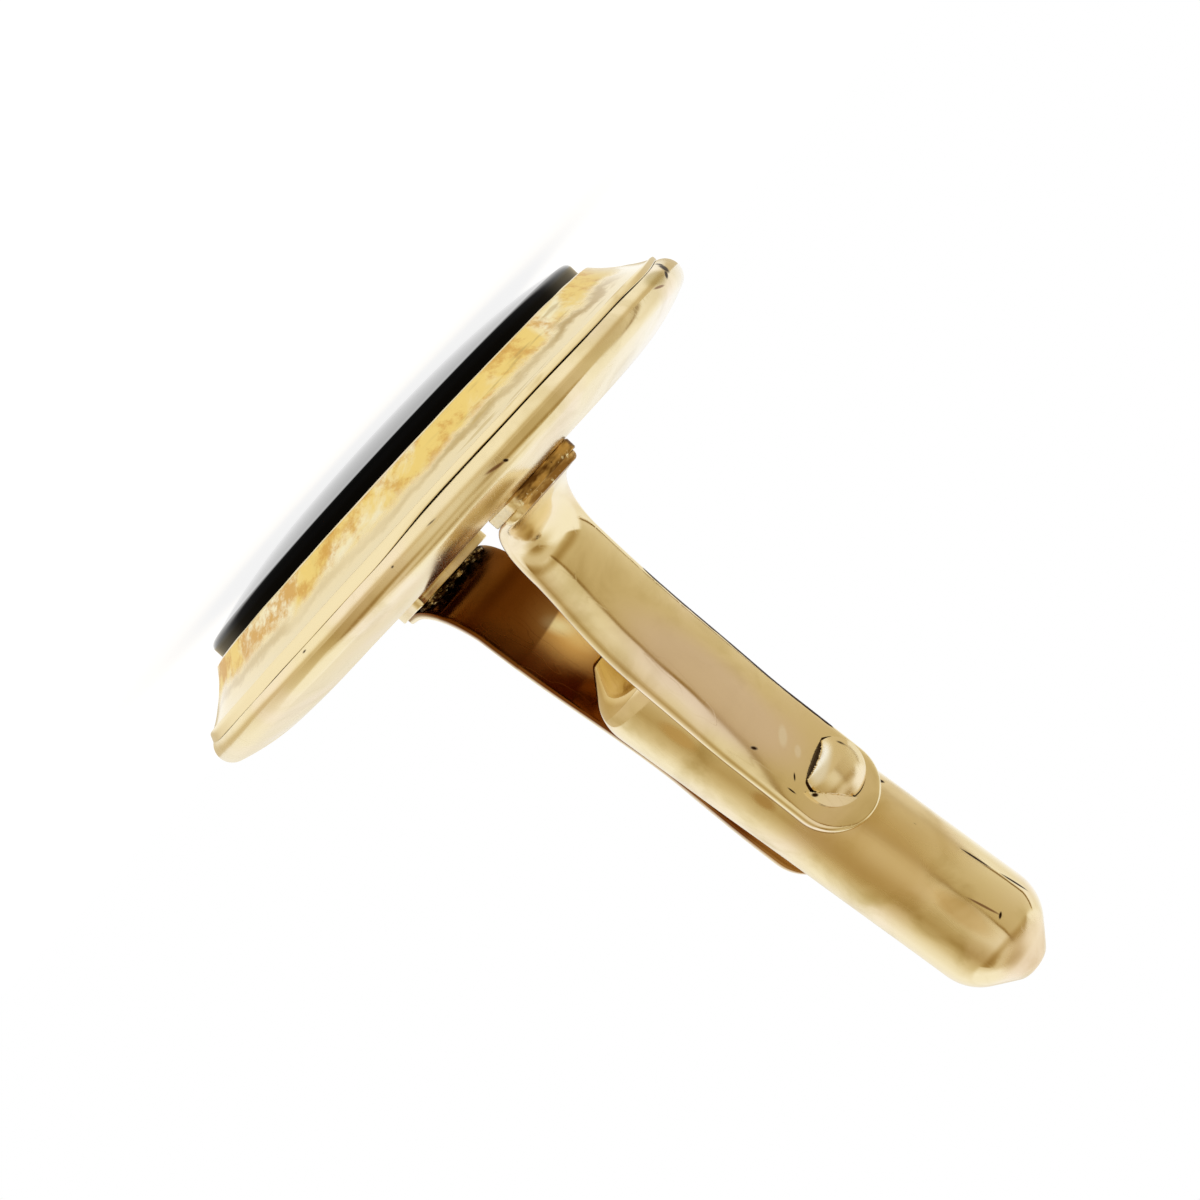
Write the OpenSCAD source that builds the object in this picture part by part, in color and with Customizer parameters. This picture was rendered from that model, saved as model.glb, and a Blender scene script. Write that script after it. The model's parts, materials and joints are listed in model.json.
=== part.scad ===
// Round cufflink with a stone face, a two-armed post and a swinging bullet toggle.
// It stands face down: +Z up, the stone's polished flat at z = 0, the head's centre on the Z axis.
// The toggle swings in the XZ plane, about a pin along Y. The near arm is on the +Y side.

/* [Stone] */
// Diameter of the stone
stone_d = 15.5; // [14:0.1:16]
// Height of the stone's straight wall, with its rounded edge
stone_wall_h = 1.55; // [1.2:0.05:2]
// Rise of the low dome from the wall to the flat
stone_dome_h = 0.45; // [0.3:0.05:0.6]
// Diameter of the flat polished in the middle of the dome
stone_flat_d = 6; // [4:0.5:8]
// Radius of the edge between the dome and the wall
stone_edge_r = 0.2; // [0.1:0.05:0.3]
// Height of the wall that stands out of the collet
stone_proud = 0.55; // [0.4:0.05:0.8]
// Thickness of the cement under the stone
cement_t = 0.2; // [0.1:0.05:0.3]

/* [Head] */
// Width of the gold ring round the stone, out to the nose of the rim
ring_w = 2.25; // [2:0.05:2.8]
// Wall of the collet round the stone
collet_wall = 0.18; // [0.15:0.01:0.25]
// How far the collet stands out of the frame
collet_proud = 0.05; // [0.03:0.01:0.1]
// Thickness of the plate that the stone beds on
seat_t = 0.3; // [0.2:0.05:0.4]
// Width of the ledge that the plate has beyond the collet
seat_ledge = 0.35; // [0.25:0.05:0.45]
// Width of the flat land round the collet, at the top of the cove
frame_land = 0.12; // [0.08:0.02:0.2]
// Radius of the hollow cove round the stone
cove_r = 4.2; // [3:0.1:8]
// Width of the flat brim outside the cove
brim_w = 0.15; // [0.1:0.05:0.25]
// Thickness of the brim at the seam
brim_t = 0.14; // [0.1:0.02:0.2]
// How far the frame's edge stands back from the rim's nose
brim_setback = 0.25; // [0.2:0.05:0.4]
// Height of the open seam between frame and cup
seam_gap = 0.06; // [0.04:0.01:0.1]
// Depth of the open seam
seam_depth = 0.3; // [0.2:0.05:0.4]

/* [Back cup] */
// Height of the cup, from the seam to the flat back
cup_h = 1.55; // [1.4:0.05:1.8]
// Wall of the cup
cup_wall = 0.5; // [0.35:0.05:0.6]
// Width of the slope round the flat part of the back, out to the nose of the rim
slope_w = 3.1; // [2.9:0.05:3.3]
// Radius of the slope
shoulder_r = 7.8; // [7:0.1:9]
// Radius of the rim's nose
nose_r = 0.55; // [0.5:0.01:0.6]
// Width of the land where the cup meets the frame
cup_land = 1; // [0.8:0.05:1.2]

/* [Post] */
// Height of the pivot over the head's back
pivot_h = 12.75; // [11.5:0.25:14]
// Lean of the post from the head's axis
post_lean = 4.6; // [0:0.2:6]
// Width of each arm
arm_w = 2.95; // [2.6:0.05:3.2]
// Thickness of each arm
arm_t = 0.4; // [0.3:0.05:0.5]
// How much longer the far arm is than the near one, past the pivot
far_arm_extra = 1.15; // [0:0.05:1.5]
// How far each foot is wider than its arm, on each side
foot_flare = 0.1; // [0:0.05:0.2]
// Height over the foot at which the flare starts
flare_h = 2; // [1.5:0.25:3]
// Length of each foot past its bend
foot_l = 0.8; // [0.5:0.05:1]
// Outward tilt of the arms below the toggle
arm_tilt = 9; // [7:0.5:10]
// Length of the upright stretch below the pivot
upright_len = 2.6; // [2.2:0.1:3.5]
// Radius of the bend under the upright stretch, at the middle of the strap
upper_bend_r = 8; // [6:0.5:12]
// Radius of the bend into the foot, at the middle of the strap
foot_bend_r = 2.3; // [2:0.1:2.6]

/* [Feet] */
// Length of each foot's pad
pad_l = 3.4; // [3.3:0.1:4]
// Width of each foot's pad
pad_w = 2.5; // [2.4:0.1:2.7]
// Thickness of each foot's pad
pad_t = 0.35; // [0.25:0.05:0.5]
// How far each pad reaches past its foot
pad_margin = 0.15; // [0.1:0.05:0.3]
// Radius of the pads' corners
pad_corner_r = 0.3; // [0.2:0.05:0.5]
// How far the solder reaches in under each foot's bend
solder_reach = 1.2; // [1:0.05:1.3]
// Height of the solder on each pad
solder_h = 0.3; // [0.2:0.05:0.4]

/* [Pivot pin] */
// Diameter of the pin
pin_d = 1.2; // [1:0.05:1.4]
// Width of the pin over its flats, where the spring grips it
pin_flats_w = 0.95; // [0.9:0.01:1]
// Length of the stretch with flats
pin_flats_l = 2.3; // [2:0.1:2.6]
// Diameter of the pin's domed head
pin_head_d = 2.1; // [1.8:0.05:2.4]
// Height of the domed head
pin_head_h = 0.5; // [0.4:0.05:0.7]
// Distance from the pin's axis to the filed side of the head
pin_head_cut = 0.65; // [0.65:0.05:0.9]
// Turn of the filed side from the post's axis
pin_head_cut_turn = 12; // [0:1:20]
// Diameter of the riveted end
rivet_d = 1.8; // [1.5:0.05:2.2]
// Height of the riveted end
rivet_h = 0.35; // [0.25:0.05:0.5]
// Radial clearance of the riveted pin in the arms
rivet_fit = 0.01; // [0:0.005:0.02]

/* [Toggle] */
// Diameter of the toggle
toggle_d = 3.85; // [3.5:0.05:4]
// Length of the toggle from the pivot to its outer end
toggle_out = 8.9; // [8:0.1:9.5]
// Length of the toggle from the pivot to its inner end
toggle_in = 7.6; // [7:0.1:8]
// Wall of the toggle's tube
tube_wall = 0.45; // [0.35:0.05:0.5]
// Length of each conical end
cone_l = 1.3; // [1:0.1:1.6]
// Diameter of the blunt face at each end
blunt_d = 1.2; // [1:0.1:1.6]
// Length of each cap's spigot
spigot_l = 2; // [1.5:0.1:2.2]
// Radial clearance of the spigots in the tube
spigot_fit = 0.01; // [0:0.005:0.02]
// Radial clearance of the toggle on the pin
pin_fit = 0.04; // [0.02:0.01:0.08]
// Gap between the toggle and each arm
toggle_gap = 0.075; // [0.05:0.005:0.15]
// Lean of the toggle from the head's axis, as it was left
toggle_lean = 6.9; // [0:0.1:12]

/* [Detent spring] */
// Thickness of the spring's strip
spring_t = 0.16; // [0.12:0.01:0.2]
// Width of the spring's strip
spring_w = 1.8; // [1.6:0.1:2.1]
// Length of the spring's legs past the pivot
spring_past = 2.2; // [1.5:0.1:3]
// Gap between the spring and the corners of the pin
spring_gap = 0.03; // [0.02:0.01:0.05]

/* [Hidden] */
$fn = 128;
// Overrun of every cut past the face that it opens
cut = 1;
// Clearance between pieces that are slipped into each other and soldered or cemented
slip = 0.01;
// Turn of the arcs in an outline, for each of its points
arc_step = 4;

// Heights over the stone's flat, from the face to the back
stone_r = stone_d / 2;
lip_z = stone_dome_h + stone_proud;
stone_back_z = stone_dome_h + stone_wall_h;
seat_z = stone_back_z + cement_t;
seam_z = seat_z + seat_t;
back_z = seam_z + cup_h;
pad_z = back_z + pad_t;
pivot_z = back_z + pivot_h;
pivot_x = pivot_h * tan(post_lean);

// Radii of the head's rings
collet_in_r = stone_r + slip;
collet_out_r = collet_in_r + collet_wall;
frame_bore_r = collet_out_r + slip;
seat_r = frame_bore_r + seat_ledge;
head_r = stone_r + ring_w;
frame_edge_r = head_r - brim_setback;

// Circle of the hollow cove, through the land's edge and the brim's edge
cove_a = [frame_bore_r + frame_land, lip_z + collet_proud];
cove_b = [frame_edge_r - brim_w, seam_z - brim_t];
cove_c = outer_centre(cove_a, cove_b, cove_r);

// Circles of the cup's slope and of its nose, which touch each other
back_flat_r = head_r - slope_w;
shoulder_c = [back_flat_r, back_z - shoulder_r];
nose_out = head_r - nose_r;
nose_c = [nose_out, shoulder_c.y + sqrt(pow(shoulder_r - nose_r, 2) - pow(nose_out - back_flat_r, 2))];
touch_r = back_flat_r + (nose_out - back_flat_r) * shoulder_r / (shoulder_r - nose_r);
cup_bore_r = head_r - cup_land;

// Middle line of the near arm's strap, seen along X, from the toggle's end to the foot
arm_y = toggle_d / 2 + toggle_gap + arm_t / 2;
arm_end_z = pivot_z + arm_w / 2 + far_arm_extra;
foot_mid_z = pad_z + arm_t / 2;
upper_c = [arm_y + upper_bend_r, pivot_z - upright_len];
upper_end = upper_c + upper_bend_r * [-cos(arm_tilt), -sin(arm_tilt)];
foot_c_z = foot_mid_z + foot_bend_r;
foot_start_z = foot_c_z - foot_bend_r * sin(arm_tilt);
foot_start_y = upper_end.x + (upper_end.y - foot_start_z) * tan(arm_tilt);
foot_c = [foot_start_y + foot_bend_r * cos(arm_tilt), foot_c_z];
foot_reach = foot_c.x + foot_l;
pad_out_y = foot_reach + pad_margin;

// Sizes inside the toggle
toggle_r = toggle_d / 2;
tube_bore_r = toggle_r - tube_wall;
tube_top = toggle_out - cone_l;
tube_bottom = toggle_in - cone_l;
leg_in = pin_d / 2 + spring_gap;
spring_bend_z = spigot_l - tube_bottom + leg_in + spring_t + spring_gap;

// Colours of the solids
gold = [0.87, 0.76, 0.50];
onyx = [0.02, 0.02, 0.02];
cement = [0.75, 0.72, 0.66];
solder = [0.55, 0.45, 0.27];
steel = [0.62, 0.63, 0.65];

// Centre of the circle of radius r through a and b, on the side of the face
function outer_centre(a, b, r) =
    let (chord = b - a, half = norm(chord) / 2, side = [chord.y, -chord.x] / norm(chord))
    (a + b) / 2 + side * sqrt(r * r - half * half);

// Points of an arc round c, from angle a to angle b
function arc(c, r, a, b) =
    let (n = max(1, round(abs(b - a) / arc_step)))
    [for (i = [0 : n]) let (t = a + (b - a) * i / n) c + r * [cos(t), sin(t)]];

// Edge of the strap at a distance from its middle line, positive towards the outside
function strap_edge(side) = concat(
    [[arm_y + side, arm_end_z + cut]],
    arc(upper_c, upper_bend_r - side, 180, 180 + arm_tilt),
    arc(foot_c, foot_bend_r - side, 180 + arm_tilt, 270),
    [[foot_reach, foot_mid_z + side]]);

function reversed(points) = [for (i = [len(points) - 1 : -1 : 0]) points[i]];

// The strap seen along X
module strap_profile() {
    polygon(concat(strap_edge(arm_t / 2), reversed(strap_edge(-arm_t / 2))));
}

// An arm's outline seen along Y, with its lean, its flared foot and its round end at a length past the pivot
module arm_outline(past) {
    half = arm_w / 2;
    end_c = [pivot_x, pivot_z] + past * [sin(post_lean), cos(post_lean)];
    foot_half = half + foot_flare;
    flare_z = pad_z + flare_h;
    flare_x = (flare_z - back_z) * tan(post_lean);
    side = half / cos(post_lean);
    polygon(concat(
        [[flare_x - side, flare_z], [-foot_half, pad_z], [foot_half, pad_z], [flare_x + side, flare_z]],
        arc(end_c, half, -post_lean, 180 - post_lean)));
}

// Carries an outline drawn in Y and Z, or in X and Z, into its place, with its thickness about the middle
module seen_along_x(length) {
    rotate([90, 0, 90]) linear_extrude(length, center = true) children();
}

module seen_along_y(length) {
    rotate([90, 0, 0]) linear_extrude(length, center = true) children();
}

// An arm on the near side, bored for the pin
module arm(past) {
    difference() {
        intersection() {
            seen_along_x(arm_w * 2) strap_profile();
            seen_along_y(foot_reach * 2) arm_outline(past);
        }
        at_pivot() along_y(pin_d / 2 + rivet_fit, foot_reach * 2);
    }
}

// A pad with round corners, long in X, under the near foot
module foot_pad() {
    x = pad_l / 2 - pad_corner_r;
    y_out = pad_out_y - pad_corner_r;
    y_in = pad_out_y - pad_w + pad_corner_r;
    translate([0, 0, back_z]) linear_extrude(pad_t) {
        for (cx = [-x, x], cy = [y_in, y_out]) translate([cx, cy]) circle(r = pad_corner_r);
        translate([-x, y_in - pad_corner_r]) square([x * 2, pad_w]);
        translate([-pad_l / 2, y_in]) square([pad_l, y_out - y_in]);
    }
}

// The solder that fills the corner between the pad and the foot's bend, on the inside
module foot_solder() {
    difference() {
        translate([-arm_w / 2, foot_c.x - solder_reach, pad_z]) cube([arm_w, solder_reach, solder_h]);
        seen_along_x(arm_w * 2) strap_profile();
    }
}

module at_pivot() {
    translate([pivot_x, 0, pivot_z]) children();
}

module at_toggle() {
    at_pivot() rotate([0, toggle_lean, 0]) children();
}

module along_y(radius, length) {
    rotate([90, 0, 0]) cylinder(r = radius, h = length, center = true);
}

module on_far_side() {
    mirror([0, 1, 0]) children();
}

// Half of a low dome's outline, standing on the X axis
module dome_profile(diameter, height) {
    ball_r = (diameter * diameter / 4 + height * height) / (2 * height);
    intersection() {
        translate([0, height - ball_r]) circle(r = ball_r);
        square([diameter, height]);
    }
}

module onyx_stone() {
    dome_in = stone_flat_d / 2;
    dome_out = stone_r - stone_edge_r;
    dome_r = (pow(dome_out - dome_in, 2) + stone_dome_h * stone_dome_h) / (2 * stone_dome_h);
    dome_end = asin((dome_out - dome_in) / dome_r);
    color(onyx) rotate_extrude() polygon(concat(
        [[0, 0]],
        arc([dome_in, dome_r], dome_r, -90, -90 + dome_end),
        arc([dome_out, stone_dome_h + stone_edge_r], stone_edge_r, -90 + dome_end, 0),
        [[stone_r, stone_back_z], [0, stone_back_z]]));
}

module cement_bed() {
    color(cement) translate([0, 0, stone_back_z]) cylinder(r = stone_r, h = cement_t);
}

module stone_collet() {
    edge_r = collet_wall / 2;
    color(gold) rotate_extrude() {
        translate([collet_in_r, lip_z + edge_r]) square([collet_wall, seat_z - lip_z - edge_r]);
        translate([collet_in_r + edge_r, lip_z + edge_r]) circle(r = edge_r);
    }
}

module seat_plate() {
    color(gold) translate([0, 0, seat_z]) cylinder(r = seat_r, h = seat_t);
}

module bezel_frame() {
    top_z = lip_z + collet_proud;
    color(gold) rotate_extrude() difference() {
        translate([frame_bore_r, top_z]) square([frame_edge_r - frame_bore_r, seam_z - top_z]);
        translate(cove_c) circle(r = cove_r);
        translate([frame_edge_r - brim_w, 0]) square([head_r, seam_z - brim_t]);
        translate([0, seat_z]) square([seat_r + slip, seat_t + cut]);
        translate([frame_edge_r - seam_depth, seam_z - seam_gap]) square([head_r, seam_gap + cut]);
    }
}

// The cup's outline, seen along its rim, before its hollow
module cup_profile() {
    intersection() {
        translate([0, seam_z]) square([head_r, cup_h]);
        union() {
            translate([0, seam_z]) square([back_flat_r, cup_h]);
            intersection() {
                translate(shoulder_c) circle(r = shoulder_r);
                square([touch_r, back_z]);
            }
            translate(nose_c) circle(r = nose_r);
        }
    }
}

module cup_hollow_profile() {
    intersection() {
        square([cup_bore_r, back_z - cup_wall]);
        union() {
            square([back_flat_r, back_z]);
            translate(shoulder_c) circle(r = shoulder_r - cup_wall);
        }
    }
}

module back_cup() {
    color(gold) rotate_extrude() difference() {
        cup_profile();
        cup_hollow_profile();
    }
}

module near_foot_pad() {
    color(gold) foot_pad();
}

module far_foot_pad() {
    color(gold) on_far_side() foot_pad();
}

module near_foot_solder() {
    color(solder) foot_solder();
}

module far_foot_solder() {
    color(solder) on_far_side() foot_solder();
}

module near_arm() {
    color(gold) arm(0);
}

module far_arm() {
    color(gold) on_far_side() arm(far_arm_extra);
}

// Half of the pin's outline, with its domed head up and its riveted end down
module pin_profile() {
    seat_y = arm_y + arm_t / 2;
    shaft_l = seat_y * 2 + (pin_head_h + rivet_h) / 2;
    translate([0, -seat_y - rivet_h / 2]) square([pin_d / 2, shaft_l]);
    translate([0, seat_y]) dome_profile(pin_head_d, pin_head_h);
    translate([0, -seat_y]) mirror([0, 1]) dome_profile(rivet_d, rivet_h);
}

// The pin, with one side of its head filed, and flats in the middle
module pivot_pin() {
    color(gold) at_pivot() difference() {
        rotate([-90, 0, 0]) rotate_extrude() pin_profile();
        for (turn = [0 : 90 : 270]) rotate([0, toggle_lean + turn, 0])
            translate([-pin_d, -pin_flats_l / 2, pin_flats_w / 2])
                cube([pin_d * 2, pin_flats_l, pin_d]);
        rotate([0, post_lean - pin_head_cut_turn, 0])
            translate([-pin_head_d, arm_y + arm_t / 2, -pin_head_d - pin_head_cut])
                cube([pin_head_d * 2, pin_head_h + cut, pin_head_d]);
    }
}

module toggle_tube() {
    color(gold) at_toggle() difference() {
        translate([0, 0, -tube_bottom]) cylinder(r = toggle_r, h = tube_top + tube_bottom);
        translate([0, 0, -tube_bottom - cut])
            cylinder(r = tube_bore_r, h = tube_top + tube_bottom + cut * 2);
        along_y(pin_d / 2 + pin_fit, toggle_d + cut);
    }
}

// A conical end with its spigot, pointing along +Z from the end of the tube
module end_cap() {
    cylinder(r1 = toggle_r, r2 = blunt_d / 2, h = cone_l);
    translate([0, 0, -spigot_l]) cylinder(r = tube_bore_r - spigot_fit, h = spigot_l);
}

module toggle_inner_cap() {
    color(gold) at_toggle() rotate([180, 0, 0]) translate([0, 0, tube_bottom]) end_cap();
}

module toggle_outer_cap() {
    color(gold) at_toggle() translate([0, 0, tube_top]) end_cap();
}

// A hairpin spring whose legs lie along the pin's flats, bent against the inner cap's spigot
module detent_spring() {
    leg_l = spring_past - spring_bend_z;
    color(steel) at_toggle() seen_along_y(spring_w) {
        difference() {
            translate([0, spring_bend_z]) circle(r = leg_in + spring_t);
            translate([0, spring_bend_z]) circle(r = leg_in);
            translate([-toggle_d, spring_bend_z]) square([toggle_d * 2, toggle_d]);
        }
        for (x = [-leg_in - spring_t, leg_in]) translate([x, spring_bend_z]) square([spring_t, leg_l]);
    }
}

onyx_stone();
cement_bed();
stone_collet();
seat_plate();
bezel_frame();
back_cup();
near_foot_pad();
far_foot_pad();
near_foot_solder();
far_foot_solder();
near_arm();
far_arm();
pivot_pin();
toggle_tube();
toggle_inner_cap();
toggle_outer_cap();
detent_spring();
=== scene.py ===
"""The looks of a round cufflink: a black stone in a hollow gold ring, a two-armed post and a toggle."""

import json
from math import acos, asin, atan2, cos, degrees, exp, hypot, pi, radians, sin, sqrt, tan

import bpy
from mathutils import Matrix, Vector, noise


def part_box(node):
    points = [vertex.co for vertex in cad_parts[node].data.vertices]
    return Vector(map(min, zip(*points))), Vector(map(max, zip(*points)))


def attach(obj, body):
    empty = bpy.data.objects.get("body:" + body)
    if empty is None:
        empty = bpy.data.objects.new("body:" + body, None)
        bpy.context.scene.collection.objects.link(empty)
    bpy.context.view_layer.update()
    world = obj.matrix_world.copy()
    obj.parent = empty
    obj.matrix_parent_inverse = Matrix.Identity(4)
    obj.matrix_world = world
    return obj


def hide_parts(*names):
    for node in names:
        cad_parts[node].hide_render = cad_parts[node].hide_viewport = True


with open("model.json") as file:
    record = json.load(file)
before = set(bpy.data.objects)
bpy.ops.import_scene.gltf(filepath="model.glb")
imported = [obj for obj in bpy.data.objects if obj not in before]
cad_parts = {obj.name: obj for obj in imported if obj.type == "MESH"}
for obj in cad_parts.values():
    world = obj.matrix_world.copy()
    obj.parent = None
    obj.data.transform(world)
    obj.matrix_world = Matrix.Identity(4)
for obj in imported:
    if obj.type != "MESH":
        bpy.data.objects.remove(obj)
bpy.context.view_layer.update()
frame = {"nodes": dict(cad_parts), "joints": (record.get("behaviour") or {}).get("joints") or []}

MM = 0.001


def vec(*numbers):
    """A point or direction from its numbers."""
    return Vector(numbers)


# Places taken from the frame
stone_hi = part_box("onyx_stone")[1]
collet_lo, collet_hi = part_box("stone_collet")
seat_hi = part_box("seat_plate")[1]
ring_lo, ring_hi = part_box("bezel_frame")
cup_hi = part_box("back_cup")[1]
pad_lo, pad_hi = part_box("near_foot_pad")
arm_in_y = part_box("near_arm")[0].y
pivot = Vector(frame["joints"][0]["pos_m"])

# Room for dents inside the CAD's box, a hairline of play, and how much further the stone stands out here
dent_room = 0.03 * MM
slip = 0.01 * MM
stone_out = 0.13 * MM
stone_r = stone_hi.x
lip_z = collet_lo.z + stone_out
ring_z = ring_lo.z + stone_out
seat_z = collet_hi.z
seam_z = seat_hi.z
head_r = cup_hi.x - dent_room
back_z = cup_hi.z
pad_z = pad_hi.z
foot_reach = pad_hi.y - dent_room

# Dents of the polished surfaces: height, wavelength and seed, which shifts them by steps along X, Y and Z
dent_steps = (3.1, 1.7, 2.3)
collet_dents = (0.012 * MM, 0.8 * MM, 1)
ring_dents = (0.015 * MM, 2.2 * MM, 2)
cup_dents = (0.02 * MM, 3 * MM, 3)
toggle_dents = (0.014 * MM, 3.2 * MM, 4)
pad_dents, pad_seed = (0.02 * MM, 0.7 * MM), 6

# Sizes of the stone and its collet
stone_dome_h = 0.6 * MM
stone_flat_r = 3 * MM
stone_edge_r = 0.2 * MM
stone_around = 256
stone_shares = (0.5, 0.9)
dome_steps, edge_steps, back_steps = 16, 8, 3
collet_in_r = stone_r + slip
lip_round = 0.07 * MM

# Sizes of the head's ring and cup
ring_land = 0.12 * MM
ring_round = 0.035 * MM
ring_around = 288
cove_r, cove_steps = 4.2 * MM, 26
brim_w = 0.15 * MM
brim_t = 0.14 * MM
cup_wall = 0.5 * MM
cup_land = 1 * MM
slope_w = 3.1 * MM
shoulder_r = 7.8 * MM
nose_r = 0.55 * MM
nose_start = 0.5
nose_steps, shoulder_steps = 26, 14
back_shares = (0.96, 0.75, 0.5, 0.25, 0.001)
inner_share = 0.9

# The ring's satin part, its ragged border and the pale end of the head
satin_from, satin_to = stone_r + 0.8 * MM, stone_r + 1.2 * MM
border_r = stone_r + 1.26 * MM
border_full, border_none = 0.02 * MM, 0.25 * MM
border_ragged = 1.2 * MM
pale_from, pale_to = 5.8 * MM, 7.2 * MM
drawn_along, drawn_across = 4.0, 5.2 / MM

# The seam between ring and cup. Stretches of the rim are (middle, half, soft end) in degrees from +X
seam_gap = 0.036 * MM
seam_round = 0.015 * MM
# Depth from the rim past which the seam's hollow gets grime and painted shade
seam_grime_and_shade = 0.14 * MM
seam_depth = 0.3 * MM
seam_past = seam_depth * 1.5
seam_line, seam_shut = 0.052 * MM, 0.012 * MM
seam_open = ((84, 36, 14), (290, 34, 14))
seam_merged = (176, 65, 13)
seam_press = 0.12 * MM
brim_flare = 0.05 * MM
brim_flared = (95, 65, 25)
brim_tucked = ((22, 26, 20), (202, 26, 20))
tuck_w, tuck_run = 0.13 * MM, 0.8 * MM

# Sizes of the post
post_lean = radians(4.6)
arm_w = 2.95 * MM
arm_t = 0.4 * MM
arm_least_t = 0.1 * MM
arm_columns = 36
arm_tilt = radians(9)
upright_len = 2.6 * MM
upper_bend_r = 8 * MM
foot_bend_r = 2.3 * MM
tip_rows = 22
upright_steps, upper_steps, straight_steps, bend_steps, foot_steps = 12, 10, 24, 26, 10
tip_least = 0.02 * MM
near_form = {"crown": 0.24 * MM, "edge": 0.16 * MM, "seed": 5, "trim": 0.35 * MM, "widen": 0.0}
far_form = {"crown": 0.09 * MM, "edge": 0.08 * MM, "seed": 9, "trim": 0.0, "widen": 0.12 * MM}
far_arm_extra = 1.15 * MM
crown_power, crown_fall = 2.6, 1.6
hammered_l, hammered_flat = 3.4 * MM, 0.8
inner_edge, inner_edge_share = 0.15 * MM, 0.3
bow_w, bow_z, bow_run = 0.1 * MM, 4.5 * MM, 3 * MM
wobble_h, wobble_l = 0.012 * MM, 2.5 * MM
trim_z, trim_run = 1.5 * MM, 2.6 * MM
widen_run = 3.5 * MM
foot_thin, foot_thin_run = 0.15 * MM, 1.2 * MM
foot_corner = 0.3 * MM
foot_edge = 0.08 * MM
foot_flare, flare_h = 0.1 * MM, 2 * MM
foot_upright = 0.25

# The fired end of the near foot, its clean corner, and a painted dark reflection along the near arm's +X
# edge
raw_l, raw_share, raw_slant = 0.5 * MM, 0.75, 0.2
raw_ragged_w, raw_ragged_l = 0.12 * MM, 0.3 * MM
clean_to, clean_from = -0.85 * MM, -0.6 * MM
edge_shade_level = 1.3
edge_shade_z, edge_shade_half, edge_shade_soft = 12.0 * MM, 4.4 * MM, 0.9 * MM
edge_shade_from, edge_shade_blend = 0.885, 0.035

# Sizes of the pads and the solder at the feet
pad_corner, pad_steps = 0.3 * MM, 8
pad_edge = 0.06 * MM
pad_trim = 0.75 * MM
solder_trim = 0.8 * MM
solder_in = 0.25 * MM
solder_half_y, solder_half_z = 0.5 * MM, 0.2 * MM
solder_rows, solder_around = 60, 28
solder_end_power, solder_end_least = 6, 0.02
# Its lumps: share of its radius, length along it and waves round it
solder_lumps = ((0.5, 0.35 * MM, 1.3), (0.25, 0.12 * MM, 3))

# Sizes of the pin
pin_r = 0.6 * MM
pin_around = 220
pin_head_rings = 64
pin_head_r = 1.05 * MM
pin_head_h = 0.56 * MM
pin_head_tip = 0.14 * MM
pin_head_down = -0.27 * MM
pin_head_aside = 0.24 * MM
pin_head_rise = 0.05 * MM
pin_head_skirt = 0.1 * MM
pin_steep, pin_steep_from = 0.2 / MM, -0.05 * MM
pin_cut, pin_cut_turn, pin_cut_steep = 0.65 * MM, radians(14), 8
pin_facet, pin_facet_turn = 0.69 * MM, radians(32)
pin_burr_h, pin_burr_slope = 0.2 * MM, 0.3
pin_grime_and_shade_h = 0.08 * MM
rivet_r = 0.9 * MM
rivet_h = 0.35 * MM
rivet_rings = 9

# Sizes of the toggle
toggle_r = 1.925 * MM
toggle_out = 8.9 * MM
toggle_in = 7.6 * MM
toggle_lean = radians(6.9)
toggle_around = 128
toggle_rows, cone_steps = 24, 41
tube_wall = 0.45 * MM
cone_l = 1.3 * MM
cone_blend = 1.7 * MM
blunt_r = 0.6 * MM
blunt_round = 0.4 * MM
spigot_l = 2 * MM
shade_r = 4 * MM

# Heights of the bumps in the materials
wave_h, ripple_h, hairline_h = 0.13 * MM, 0.014 * MM, 0.006 * MM
pit_h, hollow_wave_h = 0.025 * MM, 0.06 * MM
grain_h, streak_h = 0.08 * MM, 0.07 * MM
onyx_mark_h, cement_h, steel_h = 0.003 * MM, 0.02 * MM, 0.004 * MM


# Nodes

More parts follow.
